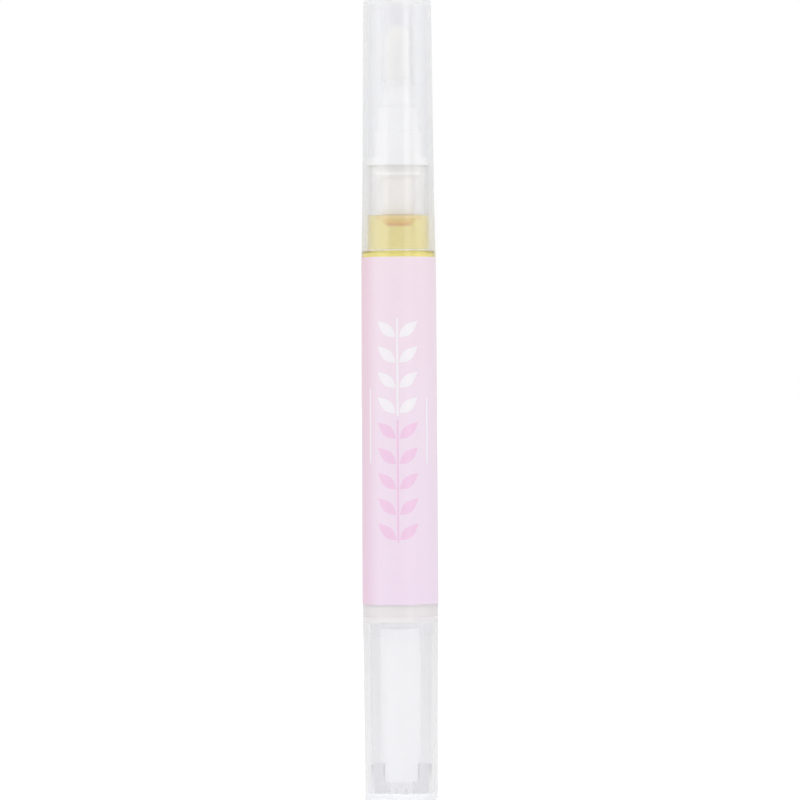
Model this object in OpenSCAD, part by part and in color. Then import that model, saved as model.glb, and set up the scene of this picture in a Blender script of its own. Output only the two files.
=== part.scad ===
// Twist-up nail oil pen: a cap over a brush, a clear barrel of oil, and a knob at the tail.
// Turning the knob turns a flatted screw rod through a fixed nut, which pushes the piston up.
// The pen stands on the knob's flat end, with Z along its axis and the cap at the top.

/* [Barrel] */
// Length of the barrel's body, from its tail to the shoulder
barrel_len = 60.15; // [54:0.05:70]
// Outside diameter where the knob meets the barrel
tail_d = 12.36; // [12.1:0.02:12.8]
// Outside diameter at the shoulder, where the cap lands
shoulder_d = 12.06; // [11.8:0.02:12.5]
// Bore that the piston runs in
bore_d = 9.6; // [9.4:0.02:9.9]
// Height of the neck above the shoulder
neck_len = 13.9; // [12:0.05:17]
// Outside diameter of the neck
neck_d = 10.06; // [9.9:0.02:10.3]
// Bore of the neck, which the nozzle's plug closes
neck_bore_d = 8.2; // [7.8:0.02:8.5]
// Thickness of material between the end of the piston's bore and the shoulder
shoulder_wall = 2.3; // [1.8:0.05:3]
// Height of the cone that leads from the piston's bore to the neck's bore
throat_h = 1.3; // [0.8:0.05:1.7]
// Edge round of the shoulder
shoulder_round = 0.15; // [0.05:0.01:0.3]
// Chamfer round the neck's mouth
mouth_chamfer = 0.15; // [0.05:0.01:0.3]

/* [Label] */
// Bare height of barrel below the label
label_start = 2.85; // [1.5:0.05:5]
// Bare height of barrel between the label and the shoulder
label_stop = 0.95; // [0.4:0.05:2]
// Thickness of the film
label_t = 0.07; // [0.04:0.01:0.12]

/* [Cap] */
// Outside diameter at the closed end, before its edge round
cap_end_d = 11.02; // [10.8:0.02:11.3]
// Outside diameter at the top of the flared skirt
cap_waist_d = 11.7; // [11.5:0.02:11.9]
// Height of the flared skirt
cap_skirt_h = 8.4; // [6:0.1:12]
// Inside diameter at the closed end
cap_bore_end_d = 9.6; // [9.3:0.02:9.8]
// Thickness of the closed end
cap_end_wall = 0.8; // [0.6:0.05:1.2]
// Free room between the brush's tip and the closed end
cap_headroom = 2.9; // [1.5:0.1:5]
// Edge round of the closed end
cap_round = 0.15; // [0.1:0.05:0.6]
// Diameter of the gate mark sunk in the closed end
gate_d = 2.6; // [2:0.1:4]
// Depth of the gate mark
gate_depth = 0.15; // [0.1:0.01:0.25]
// Lead-in chamfer inside the cap's rim
cap_lead_in = 0.2; // [0.1:0.05:0.35]
// Running clearance on the radius between the neck and the skirt
cap_fit = 0.07; // [0.03:0.01:0.1]
// Gap between the cap's rim and the shoulder
cap_seat_gap = 0.05; // [0.02:0.01:0.1]
// Wall of the sealing sleeve inside the cap
seal_wall = 0.48; // [0.35:0.01:0.6]
// Length of nozzle tip that the sealing sleeve covers
seal_overlap = 0.9; // [0.5:0.1:1.5]
// Clearance on the radius between the nozzle's tip and the sealing sleeve
seal_fit = 0.04; // [0.02:0.01:0.08]

/* [Nozzle] */
// Diameter of the flange on the neck's mouth
flange_d = 9.86; // [9.4:0.02:9.9]
// Height of the flange
flange_h = 1.35; // [1:0.05:2]
// Diameter of the lowest tier
base_d = 7.8; // [7.4:0.05:8.4]
// Height of the lowest tier
base_h = 4.35; // [3.5:0.05:5.5]
// Diameter of the middle tier
mid_d = 6.8; // [6.4:0.05:7.2]
// Height of the middle tier
mid_h = 4.2; // [3.5:0.05:5]
// Diameter of the tip tier
tip_d = 5.2; // [4.9:0.05:5.8]
// Height of the tip tier
tip_h = 4.1; // [3.6:0.05:5]
// Diameter of the tip's end
tip_end_d = 4.36; // [4.3:0.02:4.8]
// Taper of the two lower tiers, on the diameter
tier_draft = 0.2; // [0.1:0.05:0.4]
// Height of the slopes between the tiers
tier_slope = 0.5; // [0.2:0.05:0.8]
// Height of the plug inside the neck
plug_h = 2; // [1.4:0.1:3]
// Chamfer at the plug's lower end
plug_chamfer = 0.5; // [0.3:0.05:0.8]
// Clearance on the radius of parts that are pressed together
press_fit = 0.02; // [0.01:0.01:0.04]
// Length of the suction tail below the neck's mouth
suction_len = 9.8; // [8:0.1:11.5]
// Outside diameter of the suction tail
suction_d = 5.2; // [4.6:0.1:6]
// Wall of the suction tail
suction_wall = 0.5; // [0.4:0.05:0.8]
// Diameter of the domed inlet below the suction tail
inlet_d = 3.5; // [3:0.05:4]
// Height of the domed inlet
inlet_h = 1.1; // [0.8:0.05:1.4]
// Diameter of the inlet's hole
inlet_bore_d = 2; // [1.8:0.1:2.4]
// Thickness of the suction tail's floor, over the inlet
inlet_floor = 0.35; // [0.25:0.05:0.5]

/* [Brush] */
// Diameter of the tuft where it leaves the nozzle
tuft_d = 3.68; // [3.5:0.02:3.8]
// Free length of the tuft
tuft_len = 9.2; // [7:0.1:11]
// Length of the fused root in the nozzle's socket
root_len = 3.6; // [2.5:0.1:4]
// Number of strands
strands = 340; // [300:1:500]
// Diameter of a strand at its root
strand_d = 0.096; // [0.07:0.002:0.1]
// Drop from the tuft's tip to the tips of its outer strands
tuft_dome = 1.7; // [0.8:0.1:2.5]

/* [Feed tube] */
// Outside diameter of the feed tube
feed_d = 1.6; // [1.3:0.05:1.64]
// Wall of the feed tube
feed_wall = 0.35; // [0.25:0.05:0.45]
// Length of feed tube that stands above the fused root
feed_rise = 0.4; // [0.2:0.05:0.5]
// Gap between the lower end of the feed tube and the inlet's mouth
feed_gap = 0.6; // [0.3:0.1:2]

/* [Piston] */
// Height of the piston
piston_h = 6.5; // [6:0.1:8]
// Height of each wiping lip
lip_h = 1.1; // [0.8:0.05:1.5]
// Depth of the groove between the lips
lip_groove = 0.8; // [0.4:0.05:1.2]
// Height of the slopes beside the groove
lip_slope = 0.6; // [0.3:0.05:0.8]
// Depth of the cup in the piston's face
cup_depth = 0.9; // [0.5:0.05:1.1]
// Width of the wiping edge round the cup
lip_edge = 0.35; // [0.25:0.05:0.5]
// Running clearance on the radius between the bore and the lips
piston_fit = 0.04; // [0.02:0.01:0.08]
// Gap between the nut and the piston when the pen is full
piston_gap = 1; // [0.5:0.1:2]

/* [Screw rod] */
// Outside diameter of the rod's thread
rod_d = 4.4; // [4.2:0.05:4.5]
// Width across the rod's two flats
rod_flats = 3; // [2.8:0.05:3.2]
// Diameter of the rod's neck in the piston's socket
rod_neck_d = 2.6; // [2.4:0.05:2.8]
// Diameter of the rod's barbed head
rod_head_d = 3.6; // [3.3:0.05:3.8]
// Length of the rod's neck
rod_neck_h = 1.5; // [1.2:0.05:1.8]
// Length of the rod's head
rod_head_h = 1.7; // [1.4:0.05:2]
// Height of the rod's tail above the foot of the drive sleeve
rod_tail_gap = 1.5; // [1:0.1:3]
// Running clearance on the radius round the rod
rod_fit = 0.06; // [0.03:0.01:0.1]

/* [Thread nut] */
// Diameter of the nut's stop flange
nut_flange_d = 10.6; // [10.4:0.05:10.9]
// Thickness of the stop flange
nut_flange_h = 0.85; // [0.6:0.05:1.2]
// Height of the ratchet ring
click_h = 3.4; // [3:0.1:4.5]
// Height of the collar that the drive sleeve turns in
collar_h = 2; // [1.5:0.1:3]
// Height of the relief above the collar
relief_h = 7.4; // [6:0.1:9]
// Height of the threaded web
web_h = 5.5; // [4:0.1:7]
// Number of ratchet teeth, which is the number of clicks in a turn
teeth = 16; // [12:1:20]
// Diameter at the ratchet teeth's crests
crest_d = 8.1; // [8:0.02:8.2]
// Depth of the ratchet teeth
tooth_depth = 0.3; // [0.22:0.01:0.34]
// Countersink of the web's upper mouth
web_chamfer = 0.4; // [0.2:0.05:0.6]

/* [Click ring] */
// Height of the click ring
ring_h = 2.1; // [1.6:0.1:2.6]
// Thickness of the ring's hub
hub_t = 0.42; // [0.3:0.02:0.46]
// Thickness of a spring arm
arm_t = 0.3; // [0.2:0.01:0.34]
// Angle that a spring arm sweeps
arm_sweep = 100; // [70:5:130]
// Gap on the radius between an arm and the teeth's crests
arm_gap = 0.12; // [0.08:0.01:0.16]
// Gap between the pawl's nose and the tooth's root
pawl_gap = 0.05; // [0.03:0.01:0.1]
// Width of the drive keys between the ring and the sleeve
key_w = 0.8; // [0.5:0.05:1.2]
// Depth of the drive keys
key_t = 0.2; // [0.12:0.01:0.26]

/* [Drive sleeve] */
// Outside diameter of the sleeve inside the knob
sleeve_d = 6.5; // [6.3:0.02:6.7]
// Outside diameter of the sleeve's seat under the click ring
seat_d = 6.1; // [5.95:0.02:6.2]
// Outside diameter of the sleeve inside the nut
spindle_d = 5.7; // [5.6:0.02:5.8]
// Bare height between the sleeve's body and the knob's rim
sleeve_drop = 1.05; // [0.6:0.05:1.5]
// Height of the click ring above the barrel's tail
ring_rise = 0.4; // [0.2:0.05:0.8]
// Running clearance on the radius in the nut's collar
collar_fit = 0.07; // [0.03:0.01:0.1]
// Height of the snap barb that holds the sleeve in the nut
barb_h = 0.9; // [0.6:0.05:1.4]
// Reach of the snap barb past the spindle
barb_reach = 0.24; // [0.16:0.01:0.3]
// End play of the snap barb and of the sleeve's end in the nut
end_play = 0.12; // [0.05:0.01:0.3]

/* [Knob] */
// Height of the knob, from its flat end to its rim
knob_h = 28.95; // [25:0.05:34]
// Diameter of the flat end, before its edge round
knob_end_d = 11.88; // [11.6:0.02:12.1]
// Height of the band at the knob's rim
band_h = 1.9; // [1.2:0.1:3]
// Step below the band, on the radius
band_step = 0.06; // [0.02:0.01:0.1]
// Wall of the knob
knob_wall = 1; // [0.8:0.05:1.2]
// Thickness of the knob's floor
knob_floor = 0.95; // [0.8:0.05:1.4]
// Edge round of the flat end
knob_round = 0.25; // [0.2:0.05:0.6]
// Gap between the knob and the barrel
seam_gap = 0.1; // [0.05:0.01:0.2]
// Number of drive ribs on the knob's floor
ribs = 3; // [3:1:6]
// Thickness of a drive rib
rib_t = 0.7; // [0.5:0.05:0.9]
// Height of the drive ribs' tops above the flat end
rib_top = 6; // [5:0.1:8]
// Height of the sleeve's foot above the flat end
foot_z = 3.05; // [2.2:0.05:4]
// Turn of the ribs about the axis
rib_turn = -30; // [-45:1:45]
// Diameter of the pip on the knob's floor
pip_d = 2.7; // [2:0.1:3.2]
// Height of the pip
pip_h = 0.9; // [0.3:0.1:1.1]

/* [Oil] */
// Height of the oil's surface above the shoulder
oil_level = 5.8; // [4.6:0.1:8]
// Gap between the oil and the walls round it
oil_gap = 0.02; // [0.01:0.01:0.04]

/* [Hidden] */
$fn = 96;
// Points on an edge round
round_steps = 5;
// Overrun of every cut past the face that it leaves by
cut = 0.5;

// Heights of the barrel
barrel_z = knob_h + seam_gap;
shoulder_z = barrel_z + barrel_len;
mouth_z = shoulder_z + neck_len;
bore_top_z = shoulder_z - shoulder_wall;
throat_z = bore_top_z + throat_h;

// Heights of the nut and what turns in it
nut_flange_z = barrel_z + nut_flange_h;
click_z = barrel_z + click_h;
collar_z = click_z + collar_h;
web_z = collar_z + relief_h;
nut_z = web_z + web_h;
ring_z = barrel_z + ring_rise;
spindle_top_z = web_z - end_play;
root_d = crest_d + 2 * tooth_depth;
collar_d = spindle_d + 2 * collar_fit;
relief_d = spindle_d + 2 * barb_reach + 2 * end_play;

// Heights of the piston and its rod
piston_z = nut_z + piston_gap;
piston_top_z = piston_z + piston_h;
rod_tail_z = foot_z + rod_tail_gap;
rod_shoulder_z = piston_z - rod_fit;
piston_d = bore_d - 2 * piston_fit;

// Heights of the nozzle and the brush
flange_z = mouth_z + press_fit;
flange_top_z = flange_z + flange_h;
base_top_z = flange_top_z + base_h;
mid_top_z = base_top_z + mid_h;
tip_z = mid_top_z + tip_h;
inlet_z = mouth_z - suction_len;
suction_z = inlet_z + inlet_h;
suction_floor_z = suction_z + inlet_floor;
root_top_z = tip_z - press_fit;
root_z = root_top_z - root_len;
socket_z = root_z - press_fit;
tuft_z = tip_z + tuft_len;
feed_bore_d = feed_d + 2 * press_fit;
socket_d = tuft_d + 2 * press_fit;

// Heights and bores of the cap
cap_z = shoulder_z + cap_seat_gap;
cap_waist_z = cap_z + cap_skirt_h;
cap_roof_z = tuft_z + cap_headroom;
cap_top_z = cap_roof_z + cap_end_wall;
cap_bore_d = neck_d + 2 * cap_fit;
seal_bore_d = tip_end_d + 2 * seal_fit;
seal_z = tip_z - seal_overlap;
seal_d = seal_bore_d + 2 * seal_wall;

// Points of an arc about a centre, from one angle to another
function arc(centre, r, from, to) =
    [for (i = [0:round_steps]) centre + r * unit(from + (to - from) * i / round_steps)];

function unit(angle) = [cos(angle), sin(angle)];

// The barrel's outside radius at a height, as its walls taper to the shoulder
function barrel_r(z) = (tail_d + (shoulder_d - tail_d) * (z - barrel_z) / barrel_len) / 2;

// A piece turned about the axis from an outline of radius and height
module turned(outline) {
    rotate_extrude()
        polygon(outline);
}

// A round cut from one height to another
module bore(d, from, to) {
    translate([0, 0, from])
        cylinder(d = d, h = to - from);
}

// A round bar with two flats across it, from one height to another
module flatted(d, flats, from, to) {
    intersection() {
        bore(d, from, to);
        translate([-d, -flats / 2, from])
            cube([2 * d, flats, to - from]);
    }
}

// Copies of a shape turned evenly about the axis
module round_the_axis(count) {
    for (i = [0:count - 1])
        rotate([0, 0, 360 * i / count])
            children();
}

// Cap: a tapered shell that slides over the neck, with a sleeve that seals on the nozzle's tip
module cap() {
    color([0.9, 0.91, 0.93, 0.5]) {
        difference() {
            turned(concat(
                [[0, cap_z], [shoulder_d / 2, cap_z], [cap_waist_d / 2, cap_waist_z]],
                arc([cap_end_d / 2 - cap_round, cap_top_z - cap_round], cap_round, 0, 90),
                [[0, cap_top_z]]
            ));
            turned([
                [0, cap_z - cut],
                [cap_bore_d / 2 + cap_lead_in, cap_z - cut],
                [cap_bore_d / 2 + cap_lead_in, cap_z],
                [cap_bore_d / 2, cap_z + cap_lead_in],
                [cap_bore_d / 2, mouth_z],
                [cap_bore_end_d / 2, cap_roof_z],
                [0, cap_roof_z]
            ]);
            bore(gate_d, cap_top_z - gate_depth, cap_top_z + cut);
        }
        difference() {
            bore(seal_d, seal_z, cap_roof_z + cap_end_wall / 2);
            bore(seal_bore_d, seal_z - cut, cap_roof_z);
        }
    }
}

// A strand's place in the tuft, where u runs from 0 at the middle to 1 at the rim
function strand_turn(i) = i * 180 * (3 - sqrt(5));
function strand_u(i) = (i + 0.5) / strands;
function strand_out(u, inner, outer) = sqrt(inner * inner + (outer * outer - inner * inner) * u);

// Strands stand round the feed tube at the root and close over it at the tips
strand_root_share = 0.5;
strand_tip_share = 0.8;
strand_spread_share = 0.93;
tuft_inner_r = feed_bore_d / 2 + strand_d;
tuft_outer_r = tuft_d / 2 - strand_d;
tuft_tip_r = tuft_outer_r * strand_spread_share;

// The three corners of a strand's section
function strand_ring(i, out, z, r) =
    [for (k = [0:2]) [
        out * cos(strand_turn(i)) + r * cos(strand_turn(i) + 120 * k),
        out * sin(strand_turn(i)) + r * sin(strand_turn(i) + 120 * k),
        z
    ]];

function strand_tip_z(i) = tuft_z - tuft_dome * strand_u(i) * strand_u(i)
    - strand_d * (1 + sin(strand_turn(i) * 7));

// Strand i's corners: its root, sunk in the backing, and its tip
function strand_points(i) = concat(
    strand_ring(i, strand_out(strand_u(i), tuft_inner_r, tuft_outer_r),
                root_top_z - strand_d, strand_d * strand_root_share),
    strand_ring(i, strand_out(strand_u(i), 0, tuft_tip_r),
                strand_tip_z(i), strand_d * strand_root_share * strand_tip_share)
);

// Strand i's faces, all triangles, clockwise seen from outside
function strand_faces(i) = [for (face = concat(
    [[0, 1, 2], [5, 4, 3]],
    [for (k = [0:2]) let (n = (k + 1) % 3) each [[k, k + 3, n + 3], [k, n + 3, n]]]
)) [for (corner = face) corner + 6 * i]];

// Brush: tapered strands whose roots are fused into a slice that sits in the nozzle's socket
module brush() {
    color([0.95, 0.94, 0.91]) {
        difference() {
            bore(tuft_d, root_z, root_top_z);
            bore(feed_bore_d, root_z - cut, root_top_z + cut);
        }
        polyhedron(
            points = [for (i = [0:strands - 1]) each strand_points(i)],
            faces = [for (i = [0:strands - 1]) each strand_faces(i)]
        );
    }
}

// Feed tube: carries oil from the suction tail to the middle of the tuft
module feed_tube() {
    color([0.93, 0.93, 0.93])
        difference() {
            bore(feed_d, inlet_z + feed_gap, root_top_z + feed_rise);
            bore(feed_d - 2 * feed_wall, inlet_z + feed_gap - cut, root_top_z + feed_rise + cut);
        }
}

// The suction tail's lower end and its domed inlet, from the inlet's mouth out to the tail's
// straight side, grown by a gap all round
function tail_end(gap) = concat(
    [for (i = [0:round_steps]) let (angle = 90 * i / round_steps) [
        inlet_bore_d / 2 + (inlet_d - inlet_bore_d) / 2 * sin(angle) + gap * (2 * sin(angle) - 1),
        inlet_z + (inlet_h - gap) * (1 - cos(angle)) - gap * cos(angle)
    ]],
    [[suction_d / 2 + gap, suction_z - gap]]
);

// Nozzle: three tiers on a flange, with a plug and a suction tail that hang in the neck
module nozzle() {
    plug_r = neck_bore_d / 2 - press_fit;
    color([0.96, 0.96, 0.97])
        difference() {
            turned(concat([[0, inlet_z]], tail_end(0), [
                [suction_d / 2, mouth_z - plug_h],
                [plug_r - plug_chamfer, mouth_z - plug_h],
                [plug_r, mouth_z - plug_h + plug_chamfer],
                [plug_r, flange_z],
                [flange_d / 2, flange_z],
                [flange_d / 2, flange_top_z],
                [base_d / 2, flange_top_z],
                [(base_d - tier_draft) / 2, base_top_z - tier_slope],
                [mid_d / 2, base_top_z],
                [(mid_d - tier_draft) / 2, mid_top_z - tier_slope],
                [tip_d / 2, mid_top_z],
                [tip_end_d / 2, seal_z - tier_slope],
                [tip_end_d / 2, tip_z],
                [0, tip_z]
            ]));
            bore(suction_d - 2 * suction_wall, suction_floor_z, mouth_z);
            bore(inlet_bore_d, inlet_z - cut, suction_floor_z + cut);
            bore(feed_bore_d, suction_z, tip_z);
            bore(socket_d, socket_z, tip_z + cut);
        }
}

// Barrel: a clear tapered tube with a thick shoulder and a narrow neck
module barrel() {
    color([0.92, 0.92, 0.93, 0.4])
        difference() {
            turned(concat(
                [[0, barrel_z], [tail_d / 2, barrel_z]],
                arc([shoulder_d / 2 - shoulder_round, shoulder_z - shoulder_round],
                    shoulder_round, 0, 90),
                [[neck_d / 2, shoulder_z], [neck_d / 2, mouth_z - mouth_chamfer],
                 [neck_d / 2 - mouth_chamfer, mouth_z], [0, mouth_z]]
            ));
            turned([
                [0, barrel_z - cut],
                [nut_flange_d / 2 + press_fit, barrel_z - cut],
                [nut_flange_d / 2 + press_fit, nut_flange_z + press_fit],
                [bore_d / 2, nut_flange_z + press_fit],
                [bore_d / 2, bore_top_z],
                [neck_bore_d / 2, throat_z],
                [neck_bore_d / 2, mouth_z + cut],
                [0, mouth_z + cut]
            ]);
        }
}

// Label: a printed film wrapped round the tapered body
module label_sleeve() {
    from = barrel_z + label_start;
    to = shoulder_z - label_stop;
    color([0.95, 0.87, 0.93])
        turned([
            [barrel_r(from) + press_fit, from],
            [barrel_r(from) + press_fit + label_t, from],
            [barrel_r(to) + press_fit + label_t, to],
            [barrel_r(to) + press_fit, to]
        ]);
}

// Oil: fills the bore above the piston and the neck up to its level, in and round the suction tail
module oil_fill() {
    wide_r = bore_d / 2 - oil_gap;
    neck_r = neck_bore_d / 2 - oil_gap;
    level_z = shoulder_z + oil_level;
    color([0.91, 0.86, 0.6, 0.7])
        difference() {
            turned([
                [0, piston_top_z + oil_gap],
                [wide_r, piston_top_z + oil_gap],
                [wide_r, bore_top_z],
                [neck_r, throat_z],
                [neck_r, level_z],
                [0, level_z]
            ]);
            turned(concat(tail_end(oil_gap), [
                [suction_d / 2 + oil_gap, level_z + cut],
                [suction_d / 2 - suction_wall - oil_gap, level_z + cut],
                [suction_d / 2 - suction_wall - oil_gap, suction_floor_z + oil_gap],
                [inlet_bore_d / 2 - oil_gap, suction_floor_z + oil_gap]
            ]));
            bore(feed_d + 2 * oil_gap, inlet_z + feed_gap - oil_gap, level_z + cut);
        }
}

// Piston: a plunger with two wiping lips, a cupped face and a socket that the rod's head snaps into
module piston() {
    lip_r = piston_d / 2;
    groove_r = lip_r - lip_groove;
    color([0.96, 0.96, 0.95])
        difference() {
            turned([
                [0, piston_z],
                [lip_r, piston_z],
                [lip_r, piston_z + lip_h],
                [groove_r, piston_z + lip_h + lip_slope],
                [groove_r, piston_top_z - lip_h - lip_slope],
                [lip_r, piston_top_z - lip_h],
                [lip_r, piston_top_z],
                [lip_r - lip_edge, piston_top_z],
                [rod_neck_d / 2, piston_top_z - cup_depth],
                [0, piston_top_z - cup_depth]
            ]);
            bore(rod_neck_d + 2 * rod_fit, piston_z - cut, piston_z + rod_neck_h);
            bore(rod_head_d + 2 * rod_fit, piston_z + rod_neck_h - rod_fit,
                 piston_z + rod_neck_h + rod_head_h + rod_fit);
        }
}

// Screw rod: a bar with two flats, and a barbed head that turns freely in the piston
module screw_rod() {
    head_z = rod_shoulder_z + rod_fit + rod_neck_h;
    color([0.93, 0.93, 0.92]) {
        flatted(rod_d, rod_flats, rod_tail_z, rod_shoulder_z);
        bore(rod_neck_d, rod_shoulder_z, head_z + rod_head_h / 2);
        translate([0, 0, head_z])
            cylinder(d1 = rod_head_d, d2 = rod_neck_d, h = rod_head_h);
    }
}

// One ratchet tooth's two points: a crest, and the root that a steep face drops to
function tooth_points(i) = [
    crest_d / 2 * unit(360 * i / teeth),
    root_d / 2 * unit(360 * (i + tooth_face_share) / teeth)
];
// The share of a tooth's pitch that its steep face takes up
tooth_face_share = 0.15;

// Thread nut: pressed into the barrel's tail, with ratchet teeth, a collar and a threaded web
module thread_nut() {
    color([0.9, 0.9, 0.9])
        difference() {
            turned([
                [0, barrel_z],
                [nut_flange_d / 2, barrel_z],
                [nut_flange_d / 2, nut_flange_z],
                [bore_d / 2 - press_fit, nut_flange_z],
                [bore_d / 2 - press_fit, nut_z],
                [0, nut_z]
            ]);
            translate([0, 0, barrel_z - cut])
                linear_extrude(click_h + cut)
                    polygon([for (i = [0:teeth - 1]) each tooth_points(i)]);
            bore(collar_d, barrel_z, collar_z + cut);
            bore(relief_d, collar_z, web_z);
            bore(rod_d + 2 * rod_fit, web_z - cut, nut_z + cut);
            translate([0, 0, nut_z - web_chamfer])
                cylinder(r1 = rod_d / 2 + rod_fit, r2 = rod_d / 2 + rod_fit + web_chamfer + cut,
                         h = web_chamfer + cut);
        }
}

// Click ring: two spring arms whose pawls rest between the nut's teeth and flex over them
module click_ring() {
    hub_bore_d = spindle_d + 2 * press_fit;
    hub_d = hub_bore_d + 2 * hub_t;
    arm_out_r = crest_d / 2 - arm_gap;
    arm_in_r = arm_out_r - arm_t;
    arm_mid_r = arm_out_r - arm_t / 2;
    nose_r = root_d / 2 - pawl_gap;
    pitch = 360 / teeth;
    root_angle = pitch * tooth_face_share;
    color([0.85, 0.86, 0.88]) {
        difference() {
            bore(hub_d, ring_z, ring_z + ring_h);
            bore(hub_bore_d, ring_z - cut, ring_z + ring_h + cut);
        }
        round_the_axis(2) {
            translate([-key_w / 2, spindle_d / 2 - key_t + press_fit, ring_z])
                cube([key_w, key_t + hub_t / 2, ring_h]);
            translate([0, 0, ring_z])
                rotate([0, 0, root_angle - arm_sweep])
                    rotate_extrude(angle = arm_sweep + pitch / 2)
                        translate([arm_in_r, 0])
                            square([arm_t, ring_h]);
            translate([0, 0, ring_z])
                rotate([0, 0, root_angle - arm_sweep])
                    translate([(hub_d - hub_t) / 2, 0, 0])
                        cube([arm_mid_r - (hub_d - hub_t) / 2, arm_t, ring_h]);
            translate([0, 0, ring_z])
                linear_extrude(ring_h)
                    polygon([
                        arm_mid_r * unit(root_angle - pitch / 8),
                        arm_mid_r * unit(root_angle + pitch / 3),
                        nose_r * unit(root_angle + asin(pawl_gap / nose_r))
                    ]);
        }
    }
}

// Drive sleeve: locked on the knob's ribs, keyed to the rod's flats, and snapped into the nut
module drive_sleeve() {
    body_z = knob_h - sleeve_drop;
    barb_z = collar_z + end_play;
    slot_in_r = rod_flats / 4;
    color([0.97, 0.97, 0.98])
        difference() {
            turned([
                [0, foot_z],
                [sleeve_d / 2, foot_z],
                [sleeve_d / 2, body_z],
                [seat_d / 2, body_z + (sleeve_d - seat_d) / 2],
                [seat_d / 2, ring_z - press_fit],
                [spindle_d / 2, ring_z - press_fit],
                [spindle_d / 2, barb_z],
                [spindle_d / 2 + barb_reach, barb_z],
                [spindle_d / 2, barb_z + barb_h],
                [spindle_d / 2, spindle_top_z],
                [0, spindle_top_z]
            ]);
            flatted(rod_d + 2 * rod_fit, rod_flats + 2 * rod_fit, foot_z - cut, spindle_top_z + cut);
            round_the_axis(ribs)
                rotate([0, 0, rib_turn])
                    translate([slot_in_r, -rib_t / 2 - press_fit, foot_z - cut])
                        cube([sleeve_d, rib_t + 2 * press_fit, rib_top - foot_z + press_fit + cut]);
            round_the_axis(2)
                translate([-key_w / 2 - press_fit, spindle_d / 2 - key_t, ring_z - press_fit])
                    cube([key_w + 2 * press_fit, key_t + cut,
                          spindle_top_z - ring_z + press_fit + cut]);
        }
}

// Knob: a hollow cup with a band at its rim and ribs on its floor that lock the drive sleeve
module knob() {
    band_z = knob_h - band_h;
    band_slope = 2 * band_step;
    neck_r = tail_d / 2 - band_step;
    rib_in_r = rod_d / 2 + rod_fit + press_fit;
    inner_end_r = knob_end_d / 2 - knob_wall;
    color([0.89, 0.89, 0.91, 0.6]) {
        difference() {
            turned(concat(
                [[0, 0]],
                arc([knob_end_d / 2 - knob_round, knob_round], knob_round, -90, 0),
                [[neck_r, band_z - band_slope], [tail_d / 2, band_z], [tail_d / 2, knob_h],
                 [0, knob_h]]
            ));
            turned([
                [0, knob_floor],
                [inner_end_r - knob_round, knob_floor],
                [inner_end_r, knob_floor + knob_round],
                [neck_r - knob_wall, band_z - band_slope],
                [neck_r - knob_wall, knob_h + cut],
                [0, knob_h + cut]
            ]);
        }
        bore(pip_d, knob_floor / 2, knob_floor + pip_h);
        intersection() {
            round_the_axis(ribs)
                rotate([0, 0, rib_turn])
                    translate([rib_in_r, -rib_t / 2, knob_floor / 2])
                        cube([knob_end_d, rib_t, rib_top - knob_floor / 2]);
            bore(knob_end_d - knob_wall, 0, rib_top);
        }
    }
}

cap();
brush();
feed_tube();
nozzle();
barrel();
label_sleeve();
oil_fill();
piston();
screw_rod();
thread_nut();
click_ring();
drive_sleeve();
knob();
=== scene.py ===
import math
import random

import bmesh
import bpy
from mathutils import Matrix, Vector


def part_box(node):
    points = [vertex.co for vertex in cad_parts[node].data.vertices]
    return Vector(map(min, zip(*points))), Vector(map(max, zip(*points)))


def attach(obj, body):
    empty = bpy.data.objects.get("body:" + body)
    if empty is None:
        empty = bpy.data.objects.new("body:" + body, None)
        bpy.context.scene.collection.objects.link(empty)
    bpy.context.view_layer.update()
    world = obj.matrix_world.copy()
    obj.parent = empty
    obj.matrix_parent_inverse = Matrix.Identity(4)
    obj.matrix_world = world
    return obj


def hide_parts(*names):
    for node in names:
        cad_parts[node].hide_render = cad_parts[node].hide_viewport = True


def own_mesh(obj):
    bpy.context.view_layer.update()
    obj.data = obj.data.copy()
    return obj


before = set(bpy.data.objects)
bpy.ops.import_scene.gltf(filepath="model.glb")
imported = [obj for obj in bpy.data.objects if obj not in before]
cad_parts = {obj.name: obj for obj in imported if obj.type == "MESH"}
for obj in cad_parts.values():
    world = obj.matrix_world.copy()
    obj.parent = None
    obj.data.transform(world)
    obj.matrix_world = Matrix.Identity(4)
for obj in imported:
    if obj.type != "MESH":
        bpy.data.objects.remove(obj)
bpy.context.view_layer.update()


# Camera: a long lens level with the pen's middle, as for a catalogue picture.
# It leans a third of a degree, so the cap's end stands a little left of the foot.
MM = 0.001
CAMERA_DISTANCE = 900 * MM
CAMERA_ASIDE = 0.1 * MM
CAMERA_HEIGHT = 65.04 * MM
CAMERA_LEAN = 0.324
FIELD_WIDTH = 130.24 * MM
SENSOR_WIDTH = 36
CLEAR_BOUNCES = 32

camera_data = bpy.data.cameras.new("camera")
camera_data.sensor_width = SENSOR_WIDTH
camera_data.lens = SENSOR_WIDTH * CAMERA_DISTANCE / FIELD_WIDTH
camera = bpy.data.objects.new("camera", camera_data)
camera.location = (CAMERA_ASIDE, -CAMERA_DISTANCE, CAMERA_HEIGHT)
camera.rotation_euler = (math.radians(90), math.radians(CAMERA_LEAN), 0)
bpy.context.scene.collection.objects.link(camera)
bpy.context.scene.camera = camera
bpy.context.scene.view_settings.view_transform = "Standard"
light_paths = bpy.context.scene.cycles  # light crosses up to eight clear walls each way
light_paths.max_bounces = CLEAR_BOUNCES
light_paths.transmission_bounces = CLEAR_BOUNCES
light_paths.glossy_bounces = CLEAR_BOUNCES
light_paths.diffuse_bounces = 16
light_paths.volume_bounces = 12
light_paths.blur_glossy = 0


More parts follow.
